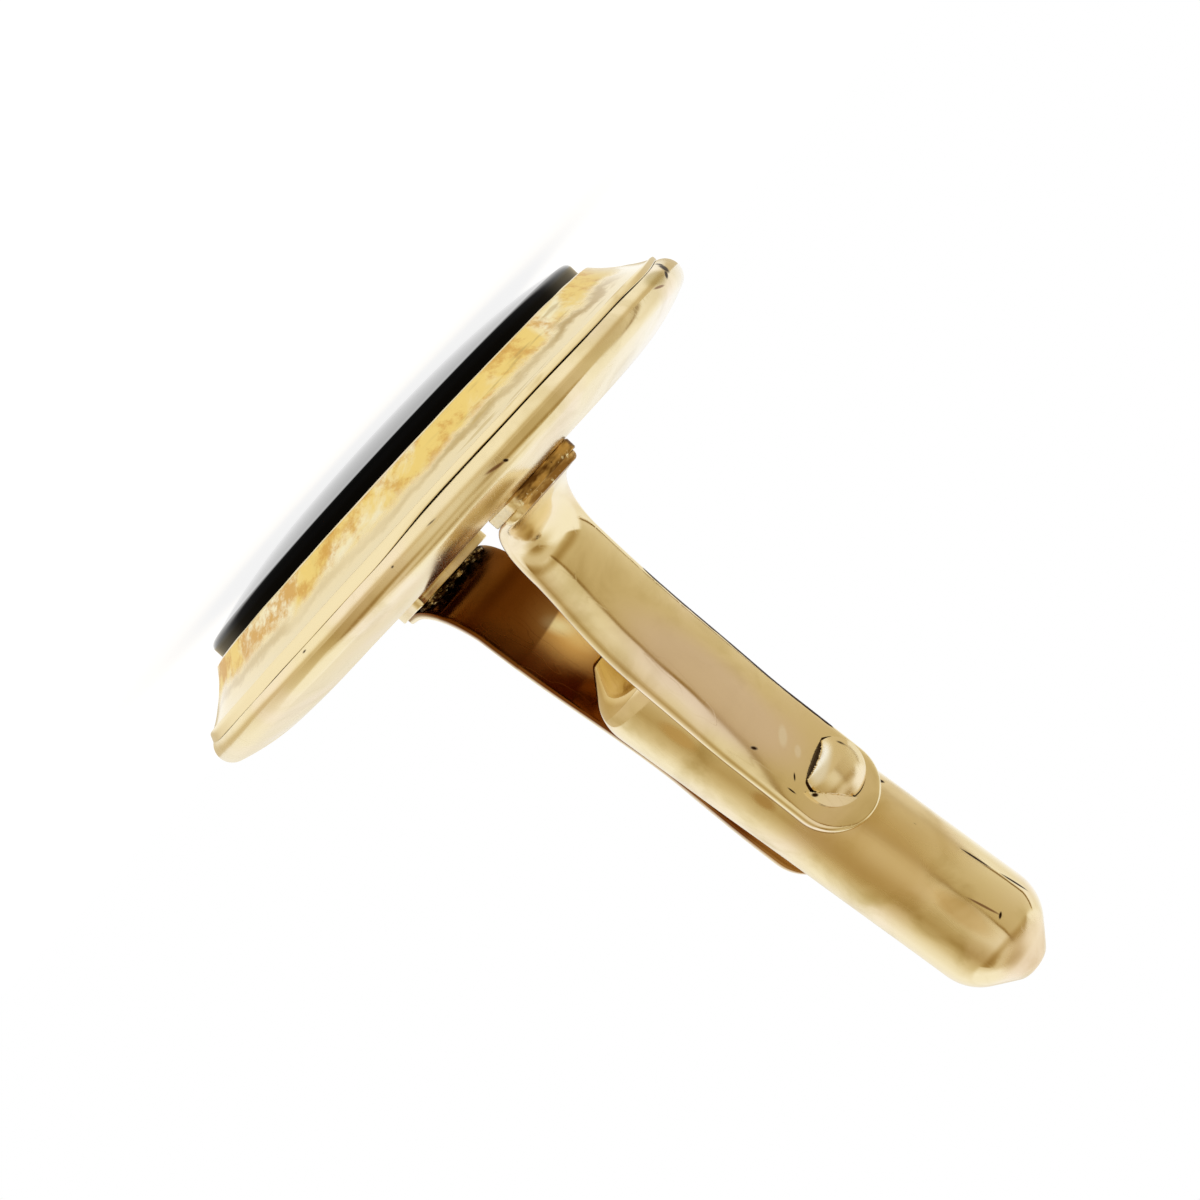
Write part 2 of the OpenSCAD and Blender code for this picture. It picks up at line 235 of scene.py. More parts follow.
class Graph:
    """A short way to write a node tree."""

    def __init__(self, owner):
        owner.use_nodes = True
        self.owner, self.tree = owner, owner.node_tree
        self.tree.nodes.clear()

    def add(self, kind, attrs=None, **inputs):
        node = self.tree.nodes.new("ShaderNode" + kind)
        for key, value in (attrs or {}).items():
            setattr(node, key, value)
        for key, value in inputs.items():
            self.put(node, key, value)
        return node

    def put(self, node, key, value):
        """Sets or links an input. The key i3 stands for the input at place 3."""
        name = key.replace("_", " ")
        socket = node.inputs[int(key[1:])] if key[0] == "i" and key[1:].isdigit() else node.inputs[name]
        if isinstance(value, bpy.types.NodeSocket):
            self.tree.links.new(value, socket)
        elif socket.type == "RGBA":
            socket.default_value = (*value, 1)
        else:
            socket.default_value = value

    def math(self, operation, a, b=0.0, c=0.0):
        return self.add("Math", {"operation": operation}, i0=a, i1=b, i2=c).outputs[0]

    def plus(self, a, b):
        return self.math("ADD", a, b)

    def minus(self, a, b):
        return self.math("SUBTRACT", a, b)

    def times(self, a, b):
        return self.math("MULTIPLY", a, b)

    def length(self, vector):
        return self.add("VectorMath", {"operation": "LENGTH"}, i0=vector).outputs["Value"]

    def axes(self, vector):
        return self.add("SeparateXYZ", Vector=vector).outputs

    def smooth(self, value, low, high, out_low=0.0, out_high=1.0):
        attrs = {"interpolation_type": "SMOOTHSTEP"}
        return self.add("MapRange", attrs, i0=value, i1=low, i2=high, i3=out_low, i4=out_high).outputs[0]

    def mix(self, factor, a, b):
        return self.add("Mix", {"data_type": "RGBA"}, i0=factor, i6=a, i7=b).outputs[2]

    def noise(self, coords, scale, detail=2, rough=0.5, distortion=0.0):
        """Noise with a scale in waves a metre."""
        node = self.add("TexNoise", Vector=coords, Scale=scale, Detail=detail, Roughness=rough,
                        Distortion=distortion)
        return node.outputs[0]

    def coords(self, stretch=(1.0, 1.0, 1.0), turn=(0.0, 0.0, 0.0)):
        coords = self.add("TexCoord").outputs["Object"]
        return self.add("Mapping", Vector=coords, Scale=stretch, Rotation=turn).outputs[0]

    def bump(self, height, strength, distance, normal=None):
        node = self.add("Bump", Height=height, Strength=strength, Distance=distance)
        if normal is not None:
            self.put(node, "Normal", normal)
        return node.outputs[0]

    def output(self, kind, surface):
        """Ends the tree and gives its material or world."""
        self.tree.links.new(surface.outputs[0], self.add(kind).inputs["Surface"])
        return self.owner

    def finish(self, colour, rough, normal, metal=1.0, **others):
        others |= {"Base_Color": colour, "Metallic": metal, "Roughness": rough, "Normal": normal}
        return self.output("OutputMaterial", self.add("BsdfPrincipled", **others))


def material(name):
    return Graph(bpy.data.materials.new(name))


# Colours

GOLD = (0.88, 0.75, 0.46)
BLUSH_GOLD = (0.92, 0.77, 0.6)
DEEP_GOLD = (0.94, 0.72, 0.24)
PALE_GOLD = (1, 0.93, 0.66)
WASHED_GOLD = (0.97, 0.91, 0.74)
STAINED_GOLD = (0.74, 0.43, 0.1)
TARNISHED_GOLD = (0.7, 0.49, 0.19)
OLIVE_GOLD = (0.6, 0.46, 0.19)
BORDER_OLIVE = (0.46, 0.31, 0.09)
DRAWN_OLIVE = (0.56, 0.4, 0.13)
# This dark brown also browns the arms' inner faces as painted shade
DARK_BROWN = (0.2, 0.065, 0.012)
WARM_BROWN = (0.5, 0.27, 0.08)
FOOT_DARK, FOOT_BRIGHT = (0.34, 0.18, 0.05), (0.86, 0.62, 0.27)
PAD_DARK, PAD_BRIGHT = (0.13, 0.055, 0.01), (0.66, 0.41, 0.13)
SHADED_GOLD = (0.6, 0.4, 0.11)
# Dark grime, also used as painted shade
GRIME_AND_SHADE = (0.035, 0.014, 0.005)


# Marks of wear

def from_mm(marks):
    """Marks in metres from marks in millimetres: place, direction, half length and half width. A patch
    also has its core's share, where it isn't the usual one, its colour and its strength."""
    return [(Vector(place) * MM, direction, length * MM, width * MM, *rest)
            for place, direction, length, width, *rest in marks]


ring_olive_side = from_mm([((2.2, 8.8, 2.2), (1, -0.3, 0), 6.5, 3)])[0]
cup_nicks = from_mm([
    ((-1.36, 9.82, 3.28), (1, 0, 1), 0.12, 0.06),
    ((7.4, 6.62, 2.86), (-0.21, 0.36, 0.23), 0.36, 0.2),
    ((7.14, 6.96, 3.03), (-0.24, 0.26, 0.13), 0.34, 0.09),
    ((7.52, 6.34, 2.69), (0, 0.13, 0.08), 0.24, 0.12),
    ((-3.82, 9.23, 2.95), (1, 0.4, 0.1), 0.3, 0.04),
    ((-7.81, 6.15, 2.79), (1, 1, 0.1), 0.14, 0.05),
    ((-5.17, 8.55, 3.0), (1, 0.5, 0), 0.08, 0.05)])
cup_patches = from_mm([
    ((6.6, 7.45, 2.88), (0.75, -0.66, 0.05), 1.0, 0.36, (0.53, 0.41, 0.15), 0.9),
    ((6.35, 7.66, 3.13), (0.54, -0.48, 0.13), 0.5, 0.05, DARK_BROWN, 0.8),
    ((-1.7, 9.815, 3.22), (0.78, 0.07, 0.18), 0.5, 0.07, DARK_BROWN, 0.85)])
pin_scar = ((0.18, 2.5, 16.81), (0.45, 0, 0.89), 0.55, 0.07)
near_nicks = from_mm([
    pin_scar,
    ((0.12, 2.47, 14.27), (0.5, 0, 0.9), 0.17, 0.08),
    ((0.33, 2.46, 15.75), (-0.7, 0, 0.7), 0.17, 0.04),
    ((-0.03, 2.43, 15.95), (0.1, 0, 1), 0.2, 0.035)])
near_worn = from_mm([
    ((0.45, 2.8, 12.2), (0.1, -0.13, 1), 4.6, 1.2, (0.94, 0.8, 0.74), 0.75),
    ((1.0, 2.5, 14.7), (-0.7, 0, 0.7), 0.42, 0.18, (1, 0.93, 0.85), 0.85),
    ((0.98, 2.5, 15.34), (-0.7, 0, 0.7), 0.26, 0.14, (1, 0.93, 0.85), 0.7)])
# Painted light and shade on the far arm's inner face: a painted shadow low down, orange and pale painted
# reflections with a glowing core, and a painted dark shade that cuts them off below
far_inner_light_and_shade = from_mm([
    ((0.2, -4.4, 5.0), (0, -0.3, 1), 2.2, 1.9, GRIME_AND_SHADE, 0.9),
    ((0.75, -2.8, 8.5), (0.1, 0.16, 1), 1.9, 1.5, 0.15, (0.84, 0.53, 0.19), 0.9),
    ((0.75, -2.8, 8.4), (0.1, 0.16, 1), 1.3, 0.5, 0.1, (0.96, 0.74, 0.36), 0.7),
    ((0.66, -2.88, 7.98), (0.5, 0.16, 1), 0.8, 0.42, 0.0, (1, 0.92, 0.62), 0.95),
    ((-0.14, -3.15, 6.3), (0.11, 0.16, 0.98), 1.6, 5, 0.93, (0.17, 0.06, 0.009), 0.72)])
pin_nicks = from_mm([
    pin_scar,
    ((0.29, 2.63, 16.52), (0.64, 0, 0.73), 0.14, 0.08),
    ((1.99, 2.76, 16.35), (0.05, 0.05, 1), 0.5, 0.08)])
# Painted highlights on the pin's head
pin_highlights = from_mm([
    ((1.08, 2.82, 15.98), (-0.9, 0, 0.43), 0.95, 0.4, (1, 0.97, 0.86), 0.95),
    ((0.38, 2.46, 16.22), (0.64, 0, 0.73), 0.18, 0.14, (1, 0.97, 0.9), 0.9)])
# Nicks on the toggle; the first is a painted shadow on the barrel beside the near arm's tip
toggle_nicks_and_shadow = from_mm([
    ((2.5, 1.4, 18.05), (0.4, -0.5, 0.8), 0.22, 0.09),
    ((2.1, 1.8, 19.6), (0.2, 0, 1), 0.12, 0.03),
    ((2.67, 1.62, 21.74), (0.2, -0.04, 1), 0.72, 0.06),
    ((3.0, 1.52, 23.18), (0.22, -0.08, 1), 0.65, 0.06),
    ((1.74, 1.93, 23.32), (0.6, 0, -0.3), 0.15, 0.06)])
toggle_tarnish = from_mm([
    ((0.5, 1.75, 18.9), (0.12, 0, 1), 3.6, 1.5, TARNISHED_GOLD, 0.7),
    ((2.3, 1.6, 19.0), (0.12, 0, 1), 3.4, 1.3, TARNISHED_GOLD, 0.45),
    ((1.0, 1.9, 22.4), (0.12, 0, 1), 1.6, 0.5, STAINED_GOLD, 0.3),
    ((1.6, 1.92, 22.76), (0.27, 0.01, 1), 0.75, 0.05, DARK_BROWN, 0.8),
    ((-0.82, 1.38, 12.5), (0.12, 0, 1), 0.9, 0.3, (0.74, 0.47, 0.12), 0.6),
    ((-0.5, 1.36, 15.7), (0.12, 0, 1), 0.55, 0.26, (0.6, 0.36, 0.09), 0.7),
    ((1.8, 1.3, 24.9), (0.12, 0, 1), 1.3, 1.5, (0.86, 0.67, 0.44), 0.6)])
cone_shade = (pivot - vec(0, 0, toggle_in), (0, 0, 1), shade_r, shade_r, SHADED_GOLD, 0.9)


# Gold, polished and worn

def scratches(g, coords, scale, width):
    """Thin lines where a long-drawn noise crosses its middle."""
    away = g.math("ABSOLUTE", g.minus(g.noise(coords, scale, detail=1), 0.5))
    return g.smooth(away, 0, width, 1, 0)


def nick_mask(g, place, direction, half_length, half_width, core=0.45):
    """A small long mark on a surface, full inside its core's share and fading to its edge."""
    coords = g.add("TexCoord").outputs["Object"]
    turn = Vector(direction).to_track_quat("X", "Z").to_euler()
    local = g.add("Mapping", {"vector_type": "TEXTURE"}, Vector=coords, Location=place, Rotation=turn,
                  Scale=(half_length, half_width, half_width)).outputs[0]
    return g.smooth(g.length(local), core, 1, 1, 0)


def attribute(g, name):
    """A number that the mesh holds at its points."""
    return g.add("Attribute", {"attribute_name": name}).outputs["Fac"]


def polished_gold(name, rough=0.07, wave=1.0, film_share=0.5, nicks=(), patches=(), dull=0.0, hidden=False):
    """Polished gold with soft waves, hairlines, blushes and an olive film, browned on its inner faces as
    painted shade, with grime and painted shade in its corners and along an edge. patches are spots of other
    colours, which dull makes rougher and hidden keeps inside."""
    g = material(name)
    coords = g.coords()
    broad = g.noise(coords, 260)
    film = g.smooth(g.noise(coords, 420, detail=4, rough=0.55, distortion=0.5), 0.46, 0.72)
    blush = g.smooth(g.noise(coords, 330), 0.45, 0.7)
    hair = scratches(g, g.coords((1, 1, 0.06)), 2600, 0.012)
    colour = g.mix(g.times(blush, 0.6), GOLD, BLUSH_GOLD)
    colour = g.mix(g.times(film, film_share), colour, OLIVE_GOLD)
    inside = attribute(g, "inside")
    # Painted shade: the arms' inner faces are browned
    inner_shade = g.mix(g.smooth(broad, 0.45, 0.72), DARK_BROWN, WARM_BROWN)
    colour = g.mix(inside, colour, inner_shade)
    dulled = 0.0
    for *spot, paint, share in patches:
        mask = nick_mask(g, *spot)
        if hidden:
            mask = g.times(mask, inside)
        dulled = g.math("MAXIMUM", mask, dulled)
        colour = g.mix(g.times(mask, share), colour, paint)
    # Grime and painted shade that the mesh marks, darkened further by the nicks
    ragged = g.noise(coords, 1100, detail=3)
    grime_and_shade = g.smooth(g.plus(attribute(g, "grime_and_shade"), ragged), 1.42, 1.56)
    for nick in nicks:
        grime_and_shade = g.math("MAXIMUM", grime_and_shade, nick_mask(g, *nick))
    colour = g.mix(grime_and_shade, colour, GRIME_AND_SHADE)
    roughness = g.plus(g.smooth(broad, 0.35, 0.65, rough, rough * 2.6), g.times(hair, 0.1))
    roughness = g.plus(roughness, g.times(grime_and_shade, 0.3))
    if patches:
        roughness = g.plus(roughness, g.times(dulled, dull))
    low = g.bump(broad, 0.8 * wave, wave_h)
    fine = g.bump(g.noise(coords, 1100), 0.35 * wave, ripple_h, low)
    return g.finish(colour, roughness, g.bump(g.minus(hair, grime_and_shade), 0.08, hairline_h, fine))


def hollow_gold(name):
    """The hollow ring: matte deep yellow next to the stone and polished at its brim, with a ragged border,
    streaks and a stronger olive border on its +Y side, a pale +X end, and grime and painted shade deep in
    its seam."""
    g = material(name)
    coords = g.coords()
    place = g.add("VectorMath", {"operation": "MULTIPLY"}, i0=coords, i1=(1, 1, 0)).outputs[0]
    radius = g.length(place)
    ragged = g.noise(coords, 420, detail=6, rough=0.7)
    edge = g.plus(radius, g.times(g.minus(ragged, 0.5), border_ragged))
    satin = g.smooth(edge, satin_from, satin_to, 1, 0)
    clouds = g.noise(coords, 380, detail=5, rough=0.6, distortion=0.8)
    smears = g.noise(coords, 900, detail=5, rough=0.7)
    pale = g.mix(g.smooth(clouds, 0.48, 0.66), DEEP_GOLD, PALE_GOLD)
    stained = g.mix(g.times(g.smooth(smears, 0.45, 0.62), 0.9), pale, STAINED_GOLD)
    colour = g.mix(satin, GOLD, stained)
    off_border = g.math("ABSOLUTE", g.minus(edge, border_r))
    border = g.smooth(off_border, border_full, border_none, 1, 0)
    faint = g.smooth(g.noise(coords, 220), 0.38, 0.6, 0.05, 0.45)
    olive_side = nick_mask(g, *ring_olive_side)
    faint = g.plus(faint, g.times(olive_side, 0.45))
    colour = g.mix(g.times(border, g.math("MINIMUM", faint, 1.0)), colour, BORDER_OLIVE)
    axes = g.axes(coords)
    along = g.times(g.math("ARCTAN2", axes[1], axes[0]), drawn_along)
    across = g.times(radius, drawn_across)
    drawn = g.noise(g.add("CombineXYZ", X=along, Y=across, Z=0.0).outputs[0], 1.0, detail=3)
    drawn = g.times(g.smooth(drawn, 0.54, 0.68), g.times(olive_side, 0.55))
    colour = g.mix(drawn, colour, DRAWN_OLIVE)
    colour = g.mix(g.smooth(axes[0], pale_from, pale_to, 0.0, 0.75), colour, WASHED_GOLD)
    # Grime and painted shade deep in the seam
    colour = g.mix(attribute(g, "grime_and_shade"), colour, GRIME_AND_SHADE)
    rough = g.mix(satin, (0.09, 0.09, 0.09), (0.46, 0.46, 0.46))
    pits = g.bump(g.noise(coords, 2600, detail=4, rough=0.7), g.times(satin, 0.5), pit_h)
    return g.finish(colour, rough, g.bump(g.noise(coords, 500), 0.35, hollow_wave_h, pits))


def raw_solder(name):
    """Rough, fired solder: dark between its grains, bright on their tops."""
    g = material(name)
    coords = g.coords()
    grains = g.noise(coords, 2600, detail=5, rough=0.7)
    tops = g.smooth(grains, 0.47, 0.62)
    colour = g.mix(tops, (0.05, 0.022, 0.006), (0.8, 0.66, 0.38))
    rough = g.smooth(grains, 0.35, 0.7, 0.5, 0.2)
    return g.finish(colour, rough, g.bump(grains, 1, grain_h))


def raw_brass(name, dark, bright):
    """The cut and fired side of a foot: brown, with streaks along it and a cleaner -X end."""
    g = material(name)
    streaks = g.noise(g.coords((0.35, 1, 1)), 1500, detail=4, rough=0.65)
    coords = g.coords()
    specks = g.noise(coords, 2100, detail=4, rough=0.7)
    colour = g.mix(g.smooth(streaks, 0.42, 0.6), dark, bright)
    colour = g.mix(g.smooth(specks, 0.6, 0.66), colour, PALE_GOLD)
    colour = g.mix(g.smooth(specks, 0.34, 0.4, 1, 0), colour, GRIME_AND_SHADE)
    clean = g.smooth(g.axes(coords)[0], clean_to, clean_from, 0.85, 0)
    return g.finish(g.mix(clean, colour, GOLD), 0.28, g.bump(streaks, 0.8, streak_h))


def polished_onyx(name):
    """Black stone whose dome mirrors only at a flat angle, with hairlines and pinpoint pits."""
    g = material(name)
    coords = g.coords()
    clouds = g.noise(coords, 180, detail=3)
    colour = g.mix(clouds, (0.001, 0.001, 0.001), (0.004, 0.0035, 0.0035))
    hair = scratches(g, g.coords((0.2, 1, 1), (0, 0, 0.6)), 1700, 0.004)
    pits = g.add("TexVoronoi", {"feature": "F1"}, Vector=coords, Scale=900.0).outputs["Distance"]
    pit = g.smooth(pits, 0.02, 0.06, 1, 0)
    marks = g.plus(hair, pit)
    rough = g.plus(g.times(marks, 0.15), g.smooth(clouds, 0.3, 0.7, 0.03, 0.06))
    normal = g.bump(marks, 0.06, onyx_mark_h)
    facing = g.add("LayerWeight", Blend=0.5).outputs["Facing"]
    on_dome = g.smooth(g.axes(coords)[2], stone_dome_h, stone_dome_h + stone_edge_r, 1.0, 0.2)
    sheen = g.times(g.smooth(facing, 0.47, 0.68), on_dome)
    return g.finish(colour, rough, normal, 0, IOR=1.54, Specular_IOR_Level=0.03,
                    Coat_Weight=sheen, Coat_IOR=3.6, Coat_Roughness=0.03)


def setting_cement(name):
    """Pale matte cement with fine grains."""
    g = material(name)
    coords = g.coords()
    grains = g.noise(coords, 2400, detail=4)
    colour = g.mix(grains, (0.52, 0.48, 0.4), (0.8, 0.77, 0.7))
    return g.finish(colour, 0.9, g.bump(grains, 0.6, cement_h), 0)


def spring_steel(name):
    """Bright steel wire with fine lines along it."""
    g = material(name)
    drawn = g.noise(g.coords((1, 1, 0.05)), 5200)
    colour = g.mix(drawn, (0.52, 0.53, 0.55), (0.68, 0.69, 0.71))
    rough = g.smooth(drawn, 0.3, 0.7, 0.18, 0.32)
    return g.finish(colour, rough, g.bump(drawn, 0.2, steel_h))


# Meshes

sharp_angle = radians(38)


def new_object(name, data):
    obj = bpy.data.objects.new(name, data)
    bpy.context.scene.collection.objects.link(obj)
    return obj


def piece(name, node, verts, faces, mat, slot="polished_gold", body="head", values=None, second=None):
    """A finished mesh that rides on a body and stands for a CAD node. values are its vertex attributes,
    and second is another material with the faces it covers."""
    mesh = bpy.data.meshes.new(name)
    mesh.from_pydata([tuple(v) for v in verts], [], faces)
    for key, numbers in (values or {}).items():
        mesh.attributes.new(key, "FLOAT", "POINT").data.foreach_set("value", numbers)
    mesh.shade_smooth()
    mesh.set_sharp_from_angle(angle=sharp_angle)
    mesh.materials.append(mat)
    if second:
        mesh.materials.append(second[0])
        for i in second[1]:
            mesh.polygons[i].material_index = 1
    obj = new_object(name, mesh)
    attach(obj, body)
    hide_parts(node)


def line_to(start, end, count):
    """Points of a straight line, without its start."""
    return [start.lerp(end, i / count) for i in range(1, count + 1)]


def arc(centre, radius, start, end, count):
    """Points of an arc, from a start angle to an end angle in degrees."""
    points = []
    for i in range(count + 1):
        t = radians(start + (end - start) * i / count)
        points.append(vec(centre[0] + radius * cos(t), centre[1] + radius * sin(t)))
    return points


def rounded(corners, steps=6, support=2.0):
    """A closed outline from (x, y, fillet radius) corners, with a spare point past each end of a fillet."""
    outline = []
    count = len(corners)
    for i, (x, y, radius) in enumerate(corners):
        here = vec(x, y)
        if radius <= 0:
            outline.append(here)
            continue
        back = (Vector(corners[i - 1][:2]) - here).normalized()
        ahead = (Vector(corners[(i + 1) % count][:2]) - here).normalized()
        half = back.angle(ahead) / 2
        reach = radius / tan(half)
        middle = here + (back + ahead).normalized() * (radius / sin(half))
        first = here + back * reach - middle
        last = here + ahead * reach - middle
        start = atan2(first.y, first.x)
        sweep = (atan2(last.y, last.x) - start + pi) % (2 * pi) - pi
        outline.append(here + back * (reach + radius / support))
        outline += arc(middle, radius, degrees(start), degrees(start + sweep), steps)
        outline.append(here + ahead * (reach + radius / support))
    return outline


def tube_faces(rows, around, closed=False):
    """Faces between rings of points, also from the last ring to the first where the tube is closed."""
    faces = []
    for i in range(rows if closed else rows - 1):
        a, b = i * around, (i + 1) % rows * around
        for j in range(around):
            n = (j + 1) % around
            faces.append((a + j, a + n, b + n, b + j))
    return faces


def capped_tube(rows, around):
    """Faces between rings of points, with the first and the last ring closed."""
    ends = [tuple(range(around))[::-1], tuple(range((rows - 1) * around, rows * around))]
    return tube_faces(rows, around) + ends


def circle(count):
    """Angles evenly round a circle."""
    return [2 * pi * j / count for j in range(count)]


def lathe(outline, segments):
    """A ring from a closed outline of (radius, height) points, or a solid from an open outline."""
    solid = outline[0].x == 0 and outline[-1].x == 0
    rows = outline[1:-1] if solid else outline
    verts = [vec(p.x * cos(t), p.x * sin(t), p.y) for p in rows for t in circle(segments)]
    faces = tube_faces(len(rows), segments, closed=not solid)
    if solid:
        first_pole, last_pole = len(verts), len(verts) + 1
        verts += [vec(0, 0, outline[0].y), vec(0, 0, outline[-1].y)]
        end = (len(rows) - 1) * segments
        for j in range(segments):
            n = (j + 1) % segments
            faces.append((first_pole, n, j))
            faces.append((last_pole, end + j, end + n))
    return verts, faces


def dented(verts, height, wavelength, seed):
    """Shifts points a little in every direction, so that a polished surface isn't perfectly true."""
    offset = vec(*[seed * step for step in dent_steps])
    for v in verts:
        q = v / wavelength + offset
        v += vec(noise.noise(q), noise.noise(q + offset), noise.noise(q - offset)) * height
    return verts


def cap_radius(half_width, height):
    """The radius of a ball of which a cap has this half width and height."""
    return (half_width ** 2 + height ** 2) / (2 * height)


def hump(distance, run):
    """1 at a place, falling smoothly to 0 on both sides of it."""
    return exp(-(distance / run) ** 2)


def rounding(gap, radius):
    """How far a rounded edge drops at a distance from the edge."""
    return radius - sqrt(max(radius ** 2 - (radius - gap) ** 2, 0)) if gap < radius else 0.0


# The head

def stone_outline():
    """The stone's section: a flat, a low dome, a rounded edge and a plain back."""
    dome_out = stone_r - stone_edge_r
    run = dome_out - stone_flat_r
    dome_r = cap_radius(run, stone_dome_h)
    end = degrees(asin(run / dome_r))
    edge_z = stone_dome_h + stone_edge_r
    back_edge_r = stone_edge_r / 2
    back_edge_z = stone_hi.z - back_edge_r
    line = [vec(0, 0)] + [vec(stone_flat_r * share, 0) for share in stone_shares]
    line += arc((stone_flat_r, dome_r), dome_r, -90, -90 + end, dome_steps)
    line += arc((dome_out, edge_z), stone_edge_r, -90 + end, 0, edge_steps)[1:]
    line += [vec(stone_r, edge_z + stone_edge_r), vec(stone_r, back_edge_z)]
    line += arc((stone_r - back_edge_r, back_edge_z), back_edge_r, 0, 90, back_steps)[1:]
    return line + [vec(stone_r * stone_shares[-1], stone_hi.z), vec(0, stone_hi.z)]


def build_head():
    gold = polished_gold("polished_gold_head")
    slab = lathe(stone_outline(), stone_around)
    piece("onyx_slab", "onyx_stone", *slab, polished_onyx("onyx"), "onyx")

    in_r, out_r = collet_in_r, collet_hi.x
    lip = [(in_r, lip_z, lip_round), (out_r, lip_z, lip_round)]
    collet = rounded(lip + [(out_r, seat_z, 0), (in_r, seat_z, 0)])
    verts, faces = lathe(collet, stone_around)
    piece("collet_strip", "stone_collet", dented(verts, *collet_dents), faces, gold)

    verts, faces = lathe(ring_outline(), ring_around)
    in_seam = {"grime_and_shade": [close_seam(v) for v in verts]}
    satin = hollow_gold("satin_gold_hollow")
    verts = dented(verts, *ring_dents)
    piece("hollow_ring", "bezel_frame", verts, faces, satin, "satin_gold", values=in_seam)

    verts, faces = lathe(cup_outline(), ring_around)
    cup_gold = polished_gold("polished_gold_cup", 0.1, 0.7, nicks=cup_nicks, patches=cup_patches, dull=0.1)
    piece("cup_shell", "back_cup", dented(verts, *cup_dents), faces, cup_gold)


def window(v, middle, half, soft):
    """1 inside a stretch of the head's rim, falling to 0 at its ends. Angles in degrees."""
    turn = (degrees(atan2(v.y, v.x)) - middle + 180) % 360 - 180
    share = min(max((half - abs(turn)) / soft, 0), 1)
    return share * share * (3 - 2 * share)


def close_seam(v):
    """Moves a point of the ring's brim and tells how much grime and painted shade it gets deep in the seam.
    The brim is tucked in at the head's ends and flared on one side. It leaves a thin line to the cup's nose,
    thinner outside the open stretches, and merges with the cup on the other side."""
    radius = hypot(v.x, v.y)
    depth = ring_hi.x - radius
    tuck = max(window(v, *stretch) for stretch in brim_tucked)
    tuck *= max(1 - depth / tuck_run, 0) * tuck_w
    v.x *= 1 - tuck / radius
    v.y *= 1 - tuck / radius
    radius -= tuck
    share = min(max((v.z - seam_z + brim_t) / (brim_t - seam_gap), 0), 1)
    if share == 0 or depth > seam_past:
        return 0.0
    opened = max(window(v, *stretch) for stretch in seam_open)
    merged = window(v, *seam_merged) * share
    outside = depth < seam_grime_and_shade + slip / 2
    if v.z < seam_z - slip / 2:
        _, nose = cup_centres()
        flare = brim_flare * share * window(v, *brim_flared)
        out = radius
        if outside:
            out += flare + (seam_press - flare) * merged
        touch = nose.y - sqrt(nose_r ** 2 - max(out - nose.x, 0) ** 2)
        if outside:
            left = seam_shut + (seam_line - seam_shut) * opened
            v.z += max(touch - left - seam_z + seam_gap, 0) * share * (1 - merged)
            v.z += (seam_gap - slip + max(touch - seam_z, 0)) * merged
        else:
            v.z += (seam_gap - slip) * share * (1 - opened) + max(touch - seam_z, 0) * merged
        v.x *= out / radius
        v.y *= out / radius
    return 0.0 if outside else opened


def ring_outline():
    """The frame's section: the hollow cove between the collet and the brim, and the open seam."""
    bore_r = collet_hi.x + slip
    edge_r = ring_hi.x
    a = vec(bore_r + ring_land, ring_z)
    b = vec(edge_r - brim_w, seam_z - brim_t)
    chord = b - a
    side = vec(chord.y, -chord.x).normalized()
    c = (a + b) / 2 + side * sqrt(cove_r ** 2 - (chord.length / 2) ** 2)
    start = degrees(atan2(a.y - c.y, a.x - c.x))
    end = degrees(atan2(b.y - c.y, b.x - c.x))
    cove = [(p.x, p.y, 0) for p in arc(c, cove_r, start, end, cove_steps)]
    cove[0] = (a.x, a.y, ring_round)
    cove[-1] = (b.x, b.y, ring_round)
    # The points next to the rounded corners would lie inside their rounding
    cove[1:3] = []
    cove[-3:-1] = []
    gap_z, grime_and_shade_r, depth_r = seam_z - seam_gap, edge_r - seam_grime_and_shade, edge_r - seam_depth
    seat_r = seat_hi.x + slip
    return rounded([(bore_r, ring_z, ring_round)] + cove + [
        (edge_r, seam_z - brim_t, ring_round), (edge_r, gap_z, seam_round), (grime_and_shade_r, gap_z, 0),
        (grime_and_shade_r - slip, gap_z, 0), (depth_r, gap_z, 0), (depth_r, seam_z, 0), (seat_r, seam_z, 0),
        (seat_r, seat_z, 0), (bore_r, seat_z, 0)], 4)


def cup_centres():
    """Centres of the arcs of the cup's section, its shoulder and its nose."""
    flat_r = head_r - slope_w
    out = head_r - nose_r
    rise = sqrt((shoulder_r - nose_r) ** 2 - (out - flat_r) ** 2)
    return vec(flat_r, back_z - shoulder_r), vec(out, back_z - shoulder_r + rise)


def cup_outline():
    """The cup's section: a round nose over the seam and a long slope to the flat back."""
    shoulder, nose = cup_centres()
    flat_r, out = shoulder.x, nose.x
    touch = degrees(acos((out - flat_r) / (shoulder_r - nose_r)))
    low = degrees(asin((seam_z - nose.y) / nose_r)) + nose_start
    line = [vec(head_r - cup_land, seam_z), vec(head_r - cup_land / 2, seam_z)]
    line += arc(nose, nose_r, low, touch, nose_steps)
    line += arc(shoulder, shoulder_r, touch, 90, shoulder_steps)[1:]
    line += [vec(flat_r * share, back_z) for share in back_shares]
    inner = back_z - cup_wall
    line += [vec(flat_r * share, inner) for share in (back_shares[-1], inner_share)]
    return line + [vec(flat_r, inner - cup_wall / 4), vec(head_r - cup_land, inner - cup_wall)]


# The post

